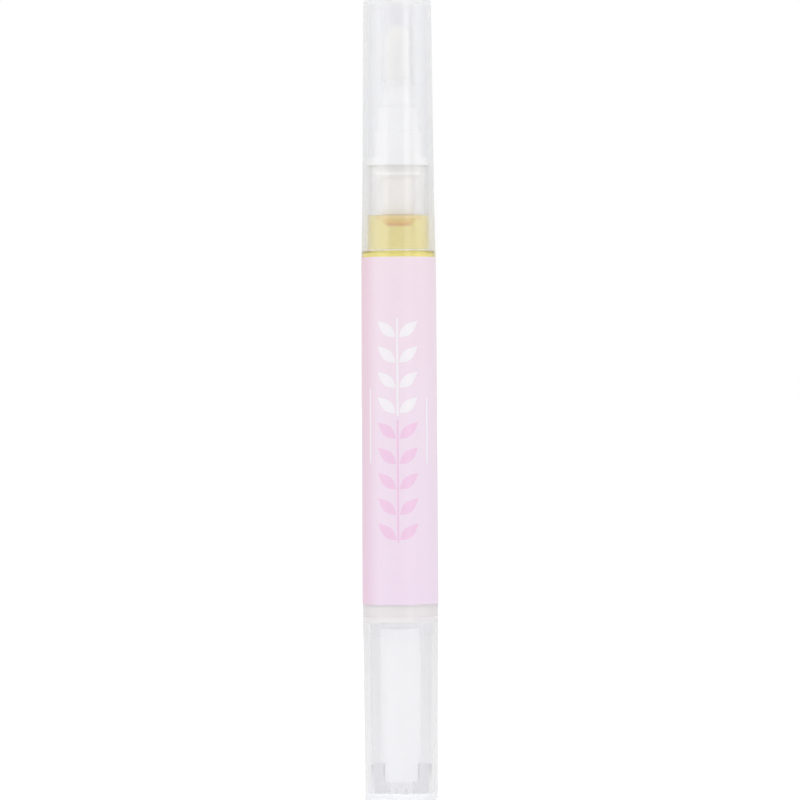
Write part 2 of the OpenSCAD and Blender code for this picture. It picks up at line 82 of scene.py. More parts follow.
# White room: the pen stands on plain white card in a white tent. The camera sees both
# at plain white; gloss and clear plastic see them a little softer, as their far sides
# are. The card's glow is dimmed at the foot's edge and in a narrow ring outside it, a
# painted contact shadow; further under the foot it keeps its full glow.
ROOM_LEVEL = 0.76
THROUGH_SHARE = 0.38
CARD_REACH = 40
CARD_COLOUR = (0.9, 0.9, 0.9)
CARD_GLOW = 0.42
CONTACT_DIM = 0.3
UNDER_FOOT_R = 4.8
FOOT_EDGE_R = 5.6
CONTACT_R = 8.5


def feed(tree, value, socket):
    """Links a node's output to the socket, or sets the socket to a plain value."""
    if isinstance(value, bpy.types.NodeSocket):
        tree.links.new(value, socket)
    else:
        socket.default_value = value


def math_node(tree, operation, *values, clamp=False):
    """One sum on sockets or plain numbers."""
    node = tree.nodes.new("ShaderNodeMath")
    node.operation = operation
    node.use_clamp = clamp
    for socket, value in zip(node.inputs, values):
        feed(tree, value, socket)
    return node.outputs[0]


def mixed(tree, factor, first, second, blend="MIX"):
    """A colour between two, or one laid on the other."""
    node = tree.nodes.new("ShaderNodeMix")
    node.data_type = "RGBA"
    node.blend_type = blend
    feed(tree, factor, node.inputs["Factor"])
    feed(tree, first, node.inputs["A"])
    feed(tree, second, node.inputs["B"])
    return node.outputs["Result"]


def ranged(tree, value, start, end, first=0, last=1, smooth=False):
    """A value that goes from first to last as the one given goes from start to end."""
    node = tree.nodes.new("ShaderNodeMapRange")
    if smooth:
        node.interpolation_type = "SMOOTHSTEP"
    tree.links.new(value, node.inputs["Value"])
    node.inputs["From Min"].default_value = start
    node.inputs["From Max"].default_value = end
    node.inputs["To Min"].default_value = first
    node.inputs["To Max"].default_value = last
    return node.outputs["Result"]


def off_axis(tree):
    """How far a point of the surface is from the pen's axis, in metres."""
    place = tree.nodes.new("ShaderNodeTexCoord")
    across = tree.nodes.new("ShaderNodeVectorMath")
    across.operation = "MULTIPLY"
    across.inputs[1].default_value = (1, 1, 0)
    tree.links.new(place.outputs["Object"], across.inputs[0])
    reach = tree.nodes.new("ShaderNodeVectorMath")
    reach.operation = "LENGTH"
    tree.links.new(across.outputs["Vector"], reach.inputs[0])
    return reach.outputs["Value"]


def seen_directly(tree):
    """1 for what the camera looks at, and less in gloss or through clear plastic."""
    path = tree.nodes.new("ShaderNodeLightPath").outputs
    clear = math_node(
        tree, "MAXIMUM", path["Is Transmission Ray"], path["Is Glossy Ray"]
    )
    softer = math_node(tree, "MULTIPLY", clear, THROUGH_SHARE)
    return math_node(tree, "MAXIMUM", path["Is Camera Ray"], softer)


tent = bpy.data.worlds.new("tent")
tent.use_nodes = True
bpy.context.scene.world = tent
tent_level = mixed(
    tent.node_tree,
    seen_directly(tent.node_tree),
    (ROOM_LEVEL, ROOM_LEVEL, ROOM_LEVEL, 1),
    (1, 1, 1, 1),
)
tent.node_tree.links.new(
    tent_level, tent.node_tree.nodes["Background"].inputs["Color"]
)

bm = bmesh.new()
bmesh.ops.create_grid(bm, x_segments=1, y_segments=1, size=CARD_REACH)
card_mesh = bpy.data.meshes.new("card")
bm.to_mesh(card_mesh)
bm.free()
card = bpy.data.objects.new("card", card_mesh)
bpy.context.scene.collection.objects.link(card)
card_stock = bpy.data.materials.new("card_stock")
card_stock.use_nodes = True
card_tree = card_stock.node_tree
card_shader = card_tree.nodes["Principled BSDF"]
card_shader.inputs["Base Color"].default_value = (*CARD_COLOUR, 1)
card_shader.inputs["Roughness"].default_value = 0.9
card_shader.inputs["Emission Color"].default_value = (1, 1, 1, 1)
card_reach = off_axis(card_tree)
# Painted contact shadow: the card's glow drops to three tenths at the foot's edge and
# recovers outward.
painted_foot_shadow = ranged(
    card_tree,
    card_reach,
    FOOT_EDGE_R * MM,
    CONTACT_R * MM,
    CONTACT_DIM * CARD_GLOW,
    CARD_GLOW,
    smooth=True,
)
under_foot = ranged(
    card_tree,
    card_reach,
    UNDER_FOOT_R * MM,
    FOOT_EDGE_R * MM,
    CARD_GLOW,
    0,
    smooth=True,
)
card_glow = math_node(
    card_tree,
    "MULTIPLY",
    seen_directly(card_tree),
    math_node(card_tree, "MAXIMUM", painted_foot_shadow, under_foot),
)
card_tree.links.new(card_glow, card_shader.inputs["Emission Strength"])
card_mesh.materials.append(card_stock)


# Lamps: a tall soft box a little right of the camera draws the bright line down the
# pen, and wide ones on the left, on the right and above fill it. The tall one doesn't
# dazzle straight through the clear plastic when the pen is seen from behind.
PEN_MIDDLE = Vector((0, 0, 0.065))


def soft_box(name, place, size, watts):
    """A rectangular lamp that faces the pen."""
    lamp_data = bpy.data.lights.new(name, "AREA")
    lamp_data.shape = "RECTANGLE"
    lamp_data.size, lamp_data.size_y = size
    lamp_data.energy = watts
    lamp = bpy.data.objects.new(name, lamp_data)
    lamp.location = place
    aim = PEN_MIDDLE - Vector(place)
    lamp.rotation_euler = aim.to_track_quat("-Z", "Y").to_euler()
    bpy.context.scene.collection.objects.link(lamp)
    return lamp_data


strip = soft_box("strip_right", place=(0.42, -0.76, 0.16), size=(0.3, 0.9), watts=1.45)
strip.use_nodes = True
strip_tree = strip.node_tree
strip_path = strip_tree.nodes.new("ShaderNodeLightPath").outputs
strip_crossed = math_node(strip_tree, "MINIMUM", strip_path["Transmission Depth"], 1)
strip_hidden = math_node(
    strip_tree, "SUBTRACT", strip_crossed, strip_path["Diffuse Depth"], clamp=True
)
strip_tree.links.new(
    math_node(strip_tree, "SUBTRACT", 1, strip_hidden),
    strip_tree.nodes["Emission"].inputs["Strength"],
)
soft_box("wide_left", place=(-0.9, -0.45, 0.3), size=(1.1, 1.0), watts=2.9)
soft_box("wide_right", place=(0.95, -0.25, 0.3), size=(0.6, 0.9), watts=1.25)
soft_box("overhead", place=(0, -0.1, 1.0), size=(0.9, 0.9), watts=1.05)


# Knob: the turning end, one frosted polypropylene moulding with its floor ribs and
# gate pip. Its solid is already the moulded shape, so it only takes its finish here.
POLYPROPYLENE_IOR = 1.49
SKIN_RELIEF = 0.02
FLOW_SHARE = 0.4
MILK_FORWARD = 0.6


def new_group(name, inputs, outputs):
    """A shader group with (name, kind, value) inputs and (name, kind) outputs."""
    group = bpy.data.node_groups.new(name, "ShaderNodeTree")
    for label, kind, value in inputs:
        socket = group.interface.new_socket(
            name=label, in_out="INPUT", socket_type="NodeSocket" + kind
        )
        socket.default_value = value
    for label, kind in outputs:
        group.interface.new_socket(
            name=label, in_out="OUTPUT", socket_type="NodeSocket" + kind
        )
    entry = group.nodes.new("NodeGroupInput")
    result = group.nodes.new("NodeGroupOutput")
    return group, entry.outputs, result.inputs


def speckle(tree, scale, detail, stretch=(1, 1, 1)):
    """Noise over the piece's own place in metres, stretched along its axes."""
    place = tree.nodes.new("ShaderNodeTexCoord")
    mapping = tree.nodes.new("ShaderNodeMapping")
    mapping.inputs["Scale"].default_value = stretch
    noise = tree.nodes.new("ShaderNodeTexNoise")
    noise.inputs["Scale"].default_value = scale
    noise.inputs["Detail"].default_value = detail
    tree.links.new(place.outputs["Object"], mapping.inputs["Vector"])
    tree.links.new(mapping.outputs["Vector"], noise.inputs["Vector"])
    return noise.outputs["Fac"]


moulded_skin, skin_in, skin_out = new_group(
    "moulded_skin",
    [
        ("Colour", "Color", (0.8, 0.8, 0.8, 1)),
        ("Shade", "Color", (0.7, 0.7, 0.7, 1)),
        ("Roughness", "Float", 0.3),
        ("Roughness Spread", "Float", 0.05),
    ],
    [("Colour", "Color"), ("Roughness", "Float"), ("Height", "Float")],
)
melt_clouds = speckle(moulded_skin, scale=170, detail=3, stretch=(1, 1, 0.4))
flow_lines = speckle(moulded_skin, scale=1500, detail=2, stretch=(1, 1, 0.03))
fine_grain = speckle(moulded_skin, scale=7000, detail=2)
moulded_skin.links.new(
    mixed(moulded_skin, melt_clouds, skin_in["Colour"], skin_in["Shade"]),
    skin_out["Colour"],
)
blotch = math_node(moulded_skin, "SUBTRACT", melt_clouds, 0.5)
spread = math_node(moulded_skin, "MULTIPLY", blotch, skin_in["Roughness Spread"])
moulded_skin.links.new(
    math_node(moulded_skin, "ADD", spread, skin_in["Roughness"]),
    skin_out["Roughness"],
)
lines = math_node(moulded_skin, "MULTIPLY", flow_lines, FLOW_SHARE)
moulded_skin.links.new(
    math_node(moulded_skin, "ADD", lines, fine_grain), skin_out["Height"]
)


def relief(tree, height, strength):
    """Shallow bumps on the material's surface."""
    bumps = tree.nodes.new("ShaderNodeBump")
    bumps.inputs["Strength"].default_value = strength
    bumps.inputs["Distance"].default_value = SKIN_RELIEF * MM
    tree.links.new(height, bumps.inputs["Height"])
    shader = tree.nodes["Principled BSDF"]
    tree.links.new(bumps.outputs["Normal"], shader.inputs["Normal"])


def plastic(name, colour, shade, roughness, spread=0.06, bump=0.08, **plain):
    """A moulded plastic: its tone, gloss and fine relief come from the moulded skin."""
    material = bpy.data.materials.new(name)
    material.use_nodes = True
    tree = material.node_tree
    shader = tree.nodes["Principled BSDF"]
    skin = tree.nodes.new("ShaderNodeGroup")
    skin.node_tree = moulded_skin
    skin.inputs["Colour"].default_value = (*colour, 1)
    skin.inputs["Shade"].default_value = (*shade, 1)
    skin.inputs["Roughness"].default_value = roughness
    skin.inputs["Roughness Spread"].default_value = spread
    tree.links.new(skin.outputs["Colour"], shader.inputs["Base Color"])
    tree.links.new(skin.outputs["Roughness"], shader.inputs["Roughness"])
    relief(tree, skin.outputs["Height"], bump)
    for socket, value in plain.items():
        shader.inputs[socket.replace("_", " ")].default_value = value
    return material


def dress(node, material):
    """Gives a CAD node its finish."""
    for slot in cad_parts[node].material_slots:
        slot.material = material


def milk(material, colour, density):
    """Fills a clear plastic with the faint milk that polypropylene has inside it."""
    tree = material.node_tree
    scatter = tree.nodes.new("ShaderNodeVolumeScatter")
    scatter.inputs["Color"].default_value = (*colour, 1)
    scatter.inputs["Density"].default_value = density
    scatter.inputs["Anisotropy"].default_value = MILK_FORWARD
    tree.links.new(
        scatter.outputs["Volume"], tree.nodes["Material Output"].inputs["Volume"]
    )


knob_frosted = plastic(
    "knob_frosted",
    colour=(0.922, 0.922, 0.936),
    shade=(0.908, 0.908, 0.922),
    roughness=0.12,
    bump=0,
    Transmission_Weight=1,
    IOR=POLYPROPYLENE_IOR,
)
milk(knob_frosted, colour=(0.87, 0.87, 0.888), density=300)
dress("knob", knob_frosted)


# Drive sleeve: the white acetal core that stands keyed in the knob, with slots for its
# ribs, and turns the rod by the flats in its bore.
core_white = plastic(
    "core_white",
    colour=(0.99, 0.99, 0.99),
    shade=(0.98, 0.98, 0.98),
    roughness=0.38,
)
dress("drive_sleeve", core_white)


# Click ring: two sprung arms of natural acetal, pushed on the drive sleeve, whose
# pawls ride over the nut's teeth.
ring_natural = plastic(
    "ring_natural",
    colour=(0.95, 0.94, 0.95),
    shade=(0.93, 0.92, 0.93),
    roughness=0.3,
)
dress("click_ring", ring_natural)


# Thread nut: the fixed acetal plug in the barrel's tail. The solid has its teeth, its
# collar and its web; the thread in the web's bore is turned here, and so is the seat
# where the nut and the clear barrel press into each other.
nut_natural = plastic(
    "nut_natural",
    colour=(0.96, 0.94, 0.965),
    shade=(0.945, 0.925, 0.95),
    roughness=0.32,
)
dress("thread_nut", nut_natural)

THREAD_PITCH = 1.6
THREAD_STEPS = 32
WEB_Z = 41.85
RIDGE_ROOT_R = 2.34
RIDGE_CREST_R = 1.98
RIDGE_ROOT_HALF = 0.3
RIDGE_CREST_HALF = 0.1
RIDGE_TURNS = 2.75
RIDGE_Z = WEB_Z + 0.55
BARREL_Z = 29.05
BORE_R = 4.8
NUT_FLANGE_R = 5.3
NUT_FLANGE_Z = 29.9
SEAT_TOP_Z = 46
SEAT_T = 0.2
BITE = 0.02


def finished(bm, name, material, body, sharp=35):
    """Closes a modelled piece: outward faces, smooth skin, its finish and its body."""
    bmesh.ops.remove_doubles(bm, verts=bm.verts, dist=1e-7)
    bmesh.ops.recalc_face_normals(bm, faces=bm.faces)
    mesh = bpy.data.meshes.new(name)
    bm.to_mesh(mesh)
    bm.free()
    mesh.polygons.foreach_set("use_smooth", [True] * len(mesh.polygons))
    mesh.set_sharp_from_angle(angle=math.radians(sharp))
    mesh.materials.append(material)
    piece = bpy.data.objects.new(name, mesh)
    bpy.context.scene.collection.objects.link(piece)
    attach(piece, body)
    return piece


def outline(bm, points):
    """Vertices and edges of a closed profile given as (radius, z) in mm."""
    verts = [bm.verts.new((r * MM, 0, z * MM)) for r, z in points]
    return verts + [bm.edges.new(pair) for pair in zip(verts, verts[1:] + verts[:1])]


def only(kind, geometry):
    """The items of one kind among what an operator gives back."""
    return [item for item in geometry if isinstance(item, kind)]


def turned(points, steps=96):
    """A bmesh of the profile turned once round the pen's axis."""
    bm = bmesh.new()
    bmesh.ops.spin(
        bm,
        geom=outline(bm, points),
        cent=(0, 0, 0),
        axis=(0, 0, 1),
        angle=2 * math.pi,
        steps=steps,
        use_merge=True,
    )
    return bm


def close_ends(bm, *ends):
    """Fills the two ends of a sweep that doesn't close on itself."""
    for end in ends:
        bmesh.ops.contextual_create(bm, geom=only(bmesh.types.BMEdge, end))


def thread(bm, points, turns):
    """Winds a ridge's profile up the right-handed thread."""
    start = outline(bm, points)
    wound = bmesh.ops.spin(
        bm,
        geom=start,
        cent=(0, 0, 0),
        axis=(0, 0, 1),
        dvec=(0, 0, THREAD_PITCH * MM / THREAD_STEPS),
        angle=2 * math.pi * turns,
        steps=round(THREAD_STEPS * turns),
    )
    close_ends(bm, start, wound["geom_last"])


bm = bmesh.new()
thread(
    bm,
    [
        (RIDGE_ROOT_R, RIDGE_Z - RIDGE_ROOT_HALF),
        (RIDGE_CREST_R, RIDGE_Z - RIDGE_CREST_HALF),
        (RIDGE_CREST_R, RIDGE_Z + RIDGE_CREST_HALF),
        (RIDGE_ROOT_R, RIDGE_Z + RIDGE_ROOT_HALF),
    ],
    RIDGE_TURNS,
)
finished(bm, "nut_thread", nut_natural, "barrel")
seat = turned(
    [
        (NUT_FLANGE_R - SEAT_T, BARREL_Z + BITE),
        (NUT_FLANGE_R + 2 * BITE, BARREL_Z + BITE),
        (NUT_FLANGE_R + 2 * BITE, NUT_FLANGE_Z - BITE),
        (BORE_R + BITE, NUT_FLANGE_Z - BITE),
        (BORE_R + BITE, SEAT_TOP_Z),
        (BORE_R - SEAT_T, SEAT_TOP_Z),
        (BORE_R - SEAT_T, NUT_FLANGE_Z),
        (NUT_FLANGE_R - SEAT_T, NUT_FLANGE_Z - 2 * BITE),
    ]
)
finished(seat, "nut_seat", nut_natural, "barrel")


# Screw rod: white acetal, a coarse thread cut down to two flats, and a neck and head
# that snap into the piston.
rod_white = plastic(
    "rod_white",
    colour=(0.9, 0.9, 0.89),
    shade=(0.86, 0.86, 0.85),
    roughness=0.33,
)
ROD_STEPS = 48
ROD_CORE_R = 1.88
ROD_ROOT_R = 1.78
ROD_ROOT_HALF = 0.42
ROD_CREST_R = 2.18
ROD_CREST_HALF = 0.2
ROD_FLAT = 1.5
ROD_FOOT_CHAMFER = 0.3
ROD_SHOULDER_Z = 48.29
ROD_NECK_R = 1.3
ROD_HEAD_R = 1.8
ROD_HEAD_Z = ROD_SHOULDER_Z + 1.56
ROD_HEAD_CHAMFER = 0.2
ROD_NOSE = 0.7
THREAD_START = 1.1
THREAD_STOP = 0.6

rod_low, rod_high = (corner.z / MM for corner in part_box("screw_rod"))
bm = turned(
    [
        (0, rod_low),
        (ROD_CORE_R - ROD_FOOT_CHAMFER, rod_low),
        (ROD_CORE_R, rod_low + ROD_FOOT_CHAMFER),
        (ROD_CORE_R, ROD_SHOULDER_Z),
        (0, ROD_SHOULDER_Z),
    ],
    ROD_STEPS,
)
thread_low = rod_low + THREAD_START
in_step = (RIDGE_Z + THREAD_PITCH / 2 - thread_low) % THREAD_PITCH
crest_z = thread_low + in_step
half_turns = math.floor((ROD_SHOULDER_Z - THREAD_STOP - crest_z) / THREAD_PITCH * 2)
thread(
    bm,
    [
        (ROD_ROOT_R, crest_z - ROD_ROOT_HALF),
        (ROD_CREST_R, crest_z - ROD_CREST_HALF),
        (ROD_CREST_R, crest_z + ROD_CREST_HALF),
        (ROD_ROOT_R, crest_z + ROD_ROOT_HALF),
    ],
    half_turns / 2,
)
for side in (1, -1):
    bmesh.ops.bisect_plane(
        bm,
        geom=bm.verts[:] + bm.edges[:] + bm.faces[:],
        plane_co=(0, side * ROD_FLAT * MM, 0),
        plane_no=(0, side, 0),
        clear_outer=True,
    )
    bmesh.ops.holes_fill(bm, edges=[e for e in bm.edges if e.is_boundary], sides=0)
rod_thread = finished(bm, "rod_thread", rod_white, "rod", sharp=30)
bm = turned(
    [
        (0, ROD_SHOULDER_Z - BITE),
        (ROD_NECK_R, ROD_SHOULDER_Z - BITE),
        (ROD_NECK_R, ROD_HEAD_Z),
        (ROD_HEAD_R - ROD_HEAD_CHAMFER, ROD_HEAD_Z),
        (ROD_HEAD_R, ROD_HEAD_Z + ROD_HEAD_CHAMFER),
        (ROD_HEAD_R, rod_high - ROD_NOSE),
        (ROD_HEAD_R - ROD_NOSE, rod_high),
        (0, rod_high),
    ],
    ROD_STEPS,
)
rod_head = finished(bm, "rod_head", rod_white, "rod")
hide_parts("screw_rod")
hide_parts("screw_rod")


# Piston: a soft white polyethylene plunger with a wiping lip at each end, wet with oil.
# The rod's head snaps into its socket and pushes it up the bore.
piston_white = plastic(
    "piston_white",
    colour=(0.92, 0.92, 0.9),
    shade=(0.88, 0.88, 0.86),
    roughness=0.3,
    Coat_Weight=0.4,
    Coat_Roughness=0.1,
)
dress("piston", piston_white)


# Barrel: the clear polypropylene tube that holds the oil, drawn in to a thick neck.
# Natural polypropylene is never quite clear, so it carries a slight warm haze.
barrel_clear = plastic(
    "barrel_clear",
    colour=(1, 0.993, 0.982),
    shade=(0.995, 0.987, 0.974),
    roughness=0.1,
    spread=0.04,
    bump=0,
    Transmission_Weight=1,
    IOR=POLYPROPYLENE_IOR,
)
milk(barrel_clear, colour=(0.994, 0.988, 0.978), density=50)
dress("barrel", barrel_clear)


# Oil: golden and clear, in the bore and up the neck, where its surface creeps up what
# it wets. Its skin lies just inside that plastic. It is two pieces that part in the
# throat, because only the oil in the bore shortens as the piston rises.
OIL_IOR = 1.47
OIL_LIGHT = (1, 0.89, 0.28, 1)
OIL_DEEP = (0.99, 0.875, 0.255, 1)
WETTING = 0.02
PARTING = 0.01
NECK_BORE_R = 4.1
BORE_TOP_Z = 86.9
THROAT_Z = 88.2
OIL_Z = 54.87
OIL_TOP_Z = 95.0
MENISCUS = 0.06
TAIL_R = 2.6
TAIL_BORE_R = 2.1
TAIL_Z = 94.4
TAIL_FLOOR_Z = 94.75
INLET_Z = 93.3
INLET_R = 1.75
INLET_BORE_R = 1.0
INLET_STEPS = 6
FEED_TUBE_R = 0.8
FEED_TUBE_Z = 93.9

oil_golden = bpy.data.materials.new("oil_golden")
oil_golden.use_nodes = True
oil_tree = oil_golden.node_tree
oil_shader = oil_tree.nodes["Principled BSDF"]
oil_shader.inputs["Roughness"].default_value = 0.02
oil_shader.inputs["Transmission Weight"].default_value = 1
oil_shader.inputs["IOR"].default_value = OIL_IOR
oil_clouds = speckle(oil_tree, scale=90, detail=2, stretch=(1, 1, 0.5))
oil_tone = mixed(oil_tree, oil_clouds, OIL_LIGHT, OIL_DEEP)
oil_tree.links.new(oil_tone, oil_shader.inputs["Base Color"])

wet_inlet = []
for step in range(INLET_STEPS, -1, -1):
    rise = math.radians(90 * step / INLET_STEPS)
    wet_r = INLET_BORE_R + (INLET_R - INLET_BORE_R) * math.sin(rise)
    wet_z = INLET_Z + (TAIL_Z - INLET_Z + WETTING) * (1 - math.cos(rise))
    wet_inlet.append(
        (wet_r - WETTING * (2 * math.sin(rise) - 1), wet_z + WETTING * math.cos(rise))
    )

neck_oil = finished(
    turned(
        [
            (0, THROAT_Z),
            (NECK_BORE_R + WETTING, THROAT_Z),
            (NECK_BORE_R + WETTING, OIL_TOP_Z + MENISCUS),
            (NECK_BORE_R - MENISCUS, OIL_TOP_Z),
            (TAIL_R + MENISCUS, OIL_TOP_Z),
            (TAIL_R - WETTING, OIL_TOP_Z + MENISCUS),
            (TAIL_R - WETTING, TAIL_Z + WETTING),
        ]
        + wet_inlet
        + [
            (INLET_BORE_R + WETTING, TAIL_FLOOR_Z - WETTING),
            (TAIL_BORE_R + WETTING, TAIL_FLOOR_Z - WETTING),
            (TAIL_BORE_R + WETTING, OIL_TOP_Z),
            (FEED_TUBE_R - WETTING, OIL_TOP_Z),
            (FEED_TUBE_R - WETTING, FEED_TUBE_Z + WETTING),
            (0, FEED_TUBE_Z + WETTING),
        ]
    ),
    "neck_oil",
    oil_golden,
    "barrel",
)
main_oil = finished(
    turned(
        [
            (0, OIL_Z),
            (BORE_R + WETTING, OIL_Z),
            (BORE_R + WETTING, BORE_TOP_Z),
            (NECK_BORE_R + WETTING, THROAT_Z - PARTING),
            (0, THROAT_Z - PARTING),
        ]
    ),
    "main_oil",
    oil_golden,
    "barrel",
)
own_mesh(main_oil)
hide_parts("oil_fill")
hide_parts("oil_fill")


# Label: thin satin film wrapped round the barrel and lapped over itself at the back,
# printed in two inks. Its marks are plain leaves on a stem and fine rules. Its white
# back glows faintly with painted light, in place of daylight through the film, most of
# all near its top. Its left side carries a painted shade of deeper pink.
LABEL_LOW_Z = 31.9
LABEL_HIGH_Z = 88.25
BARREL_FOOT_R = 6.18
SHOULDER_R = 6.03
SHOULDER_Z = 89.2
FILM_T = 0.034
FILM_GAP = 0.003
FILM_LOW_TONE = (238, 220, 238)
FILM_HIGH_TONE = (239, 221, 232)
FILM_BACK_TONE = (0.97, 0.965, 0.96, 1)
# Painted light: strength and tone of the glow on the film's white back.
FILM_PAINTED_GLOW_STRENGTH = 0.36
FILM_PAINTED_GLOW_TONE = (1, 0.93, 0.94, 1)
FILM_MOTTLE = 0.05
FILM_ROUGHNESS = 0.33
FILM_ROUGHNESS_SPREAD = 0.1
FILM_STEPS = 120
LAP_STEPS = 4
LAP_CLIMB_STEPS = 2
LAP_GAP = 0.001
# Painted shade: the film's left side is multiplied to a deeper pink, as light falls off
# there.
LEFT_SHADE_FROM_X = -3.2
LEFT_SHADE_TO_X = -6.2
LEFT_SHADE_TONE = (0.97, 0.86, 0.88, 1)


def linear(red, green, blue):
    """A colour as a picture shows it, 0 to 255, made linear."""
    return tuple(
        ((c / 255 + 0.055) / 1.055) ** 2.4 if c > 10 else c / 255 / 12.92
        for c in (red, green, blue)
    )


def barrel_r(z):
    """The barrel's outer radius at a height, in mm."""
    share = (z - BARREL_Z) / (SHOULDER_Z - BARREL_Z)
    return BARREL_FOOT_R + share * (SHOULDER_R - BARREL_FOOT_R)


label_film = bpy.data.materials.new("label_film")
label_film.use_nodes = True
film_tree = label_film.node_tree
film_shader = film_tree.nodes["Principled BSDF"]
film_place = film_tree.nodes.new("ShaderNodeTexCoord").outputs
film_axes = film_tree.nodes.new("ShaderNodeSeparateXYZ")
film_tree.links.new(film_place["Object"], film_axes.inputs["Vector"])
film_height = ranged(
    film_tree, film_axes.outputs["Z"], LABEL_LOW_Z * MM, LABEL_HIGH_Z * MM
)
# Painted shade on the film's left side.
film_left_shade = ranged(
    film_tree,
    film_axes.outputs["X"],
    LEFT_SHADE_FROM_X * MM,
    LEFT_SHADE_TO_X * MM,
    smooth=True,
)
film_tone = mixed(
    film_tree,
    film_height,
    (*linear(*FILM_LOW_TONE), 1),
    (*linear(*FILM_HIGH_TONE), 1),
)
film_tone = mixed(film_tree, film_left_shade, film_tone, LEFT_SHADE_TONE, blend="MULTIPLY")
film_specks = speckle(film_tree, scale=2200, detail=3)
film_tone = mixed(film_tree, FILM_MOTTLE, film_tone, film_specks, blend="MULTIPLY")
film_facing = film_tree.nodes.new("ShaderNodeVectorMath")
film_facing.operation = "DOT_PRODUCT"
film_tree.links.new(film_place["Object"], film_facing.inputs[0])
film_tree.links.new(film_place["Normal"], film_facing.inputs[1])
film_back = math_node(film_tree, "LESS_THAN", film_facing.outputs["Value"], 0)
film_tone = mixed(film_tree, film_back, film_tone, FILM_BACK_TONE)
film_tree.links.new(film_tone, film_shader.inputs["Base Color"])
# Painted light: the film's back glows, most near its top, in place of daylight through
# the film.
film_glow_share = math_node(
    film_tree, "MULTIPLY", film_back, math_node(film_tree, "POWER", film_height, 3)
)
film_painted_glow = mixed(film_tree, film_glow_share, (0, 0, 0, 1), FILM_PAINTED_GLOW_TONE)
film_tree.links.new(film_painted_glow, film_shader.inputs["Emission Color"])
film_shader.inputs["Emission Strength"].default_value = FILM_PAINTED_GLOW_STRENGTH
film_gloss = math_node(
    film_tree,
    "MULTIPLY_ADD",
    speckle(film_tree, scale=260, detail=2),
    FILM_ROUGHNESS_SPREAD,
    FILM_ROUGHNESS,
)
film_tree.links.new(film_gloss, film_shader.inputs["Roughness"])
film_drag = speckle(film_tree, scale=900, detail=2, stretch=(1, 1, 0.2))
relief(film_tree, film_drag, strength=0.06)

bm = bmesh.new()
film_low_r = barrel_r(LABEL_LOW_Z) + FILM_GAP
film_high_r = barrel_r(LABEL_HIGH_Z) + FILM_GAP
film_profile = [
    (film_low_r, LABEL_LOW_Z),
    (film_high_r, LABEL_HIGH_Z),
    (film_high_r + FILM_T, LABEL_HIGH_Z),
    (film_low_r + FILM_T, LABEL_LOW_Z),
]
edge = outline(bm, film_profile)
bmesh.ops.rotate(
    bm,
    verts=only(bmesh.types.BMVert, edge),
    matrix=Matrix.Rotation(math.radians(90), 3, "Z"),
)
wrapped = bmesh.ops.spin(
    bm,
    geom=edge,
    cent=(0, 0, 0),
    axis=(0, 0, 1),
    angle=2 * math.pi * (1 + LAP_STEPS / FILM_STEPS),
    steps=FILM_STEPS + LAP_STEPS,
)
close_ends(bm, edge, wrapped["geom_last"])
bm.verts.ensure_lookup_table()
ring = len(film_profile)
lap_from = FILM_STEPS - LAP_CLIMB_STEPS
for index in range(ring * lap_from, len(bm.verts)):
    vert = bm.verts[index]
    climb = min((index // ring - lap_from) / LAP_CLIMB_STEPS, 1)
    away = Vector((vert.co.x, vert.co.y, 0)).normalized()
    vert.co += away * climb * (FILM_T + LAP_GAP) * MM
label = finished(bm, "label_wrap", label_film, "barrel", sharp=60)
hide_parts("label_sleeve")

INK_WHITE = (240, 236, 241)
INK_PINK = (238, 201, 228)
INK_SHADE = 0.97
INK_ROUGHNESS = 0.28
INK_T = 0.007
INK_GAP = 0.001
INK_BEND = 0.35
INK_BENDS = 20
LEAF_TAPER = 0.35
LEAF_STATIONS = (0.06, 0.16, 0.28, 0.4, 0.52, 0.64, 0.76, 0.87, 0.95)
print_white = bpy.data.materials.new("print_white")
print_pink = bpy.data.materials.new("print_pink")
for ink, tone in ((print_white, INK_WHITE), (print_pink, INK_PINK)):
    ink.use_nodes = True
    ink_tree = ink.node_tree
    ink_shader = ink_tree.nodes["Principled BSDF"]
    ink_tone = mixed(
        ink_tree,
        speckle(ink_tree, scale=2600, detail=3),
        (*linear(*tone), 1),
        (*(c * INK_SHADE for c in linear(*tone)), 1),
    )
    ink_tree.links.new(ink_tone, ink_shader.inputs["Base Color"])
    ink_shader.inputs["Roughness"].default_value = INK_ROUGHNESS


def printed(shapes, name, ink):
    """Flat shapes, in mm across and up the label, laid on it as a film of ink."""
    bm = bmesh.new()
    for shape in shapes:
        bm.faces.new([bm.verts.new((x * MM, 0, z * MM)) for x, z in shape])
    for bend in range(-INK_BENDS, INK_BENDS + 1):
        bmesh.ops.bisect_plane(
            bm,
            geom=bm.verts[:] + bm.edges[:] + bm.faces[:],
            plane_co=(bend * INK_BEND * MM, 0, 0),
            plane_no=(1, 0, 0),
        )
    top = bmesh.ops.extrude_face_region(bm, geom=bm.faces[:])["geom"]
    raised = set(only(bmesh.types.BMVert, top))
    for vert in bm.verts:
        lift = FILM_T + INK_GAP + (INK_T if vert in raised else 0)
        radius = (barrel_r(vert.co.z / MM) + lift) * MM
        turn = vert.co.x / radius
        vert.co = (radius * math.sin(turn), -radius * math.cos(turn), vert.co.z)
    finished(bm, name, ink, "barrel")


def leaf(x, z, length, width, turn):
    """The outline of a leaf with its stalk at (x, z), turned away from the stem."""
    side = [
        (width / 2 * math.sin(math.pi * t) * (1 - LEAF_TAPER * t), length * t)
        for t in LEAF_STATIONS
    ]
    shape = [(0, 0)] + side + [(0, length)] + [(-a, b) for a, b in side[::-1]]
    c, s = math.cos(math.radians(turn)), math.sin(math.radians(turn))
    return [(x + a * c + b * s, z - a * s + b * c) for a, b in shape]


def bar(x, z_low, z_high, width):
    """The outline of an upright bar."""
    return [
        (x - width / 2, z_low),
        (x + width / 2, z_low),
        (x + width / 2, z_high),
        (x - width / 2, z_high),
    ]


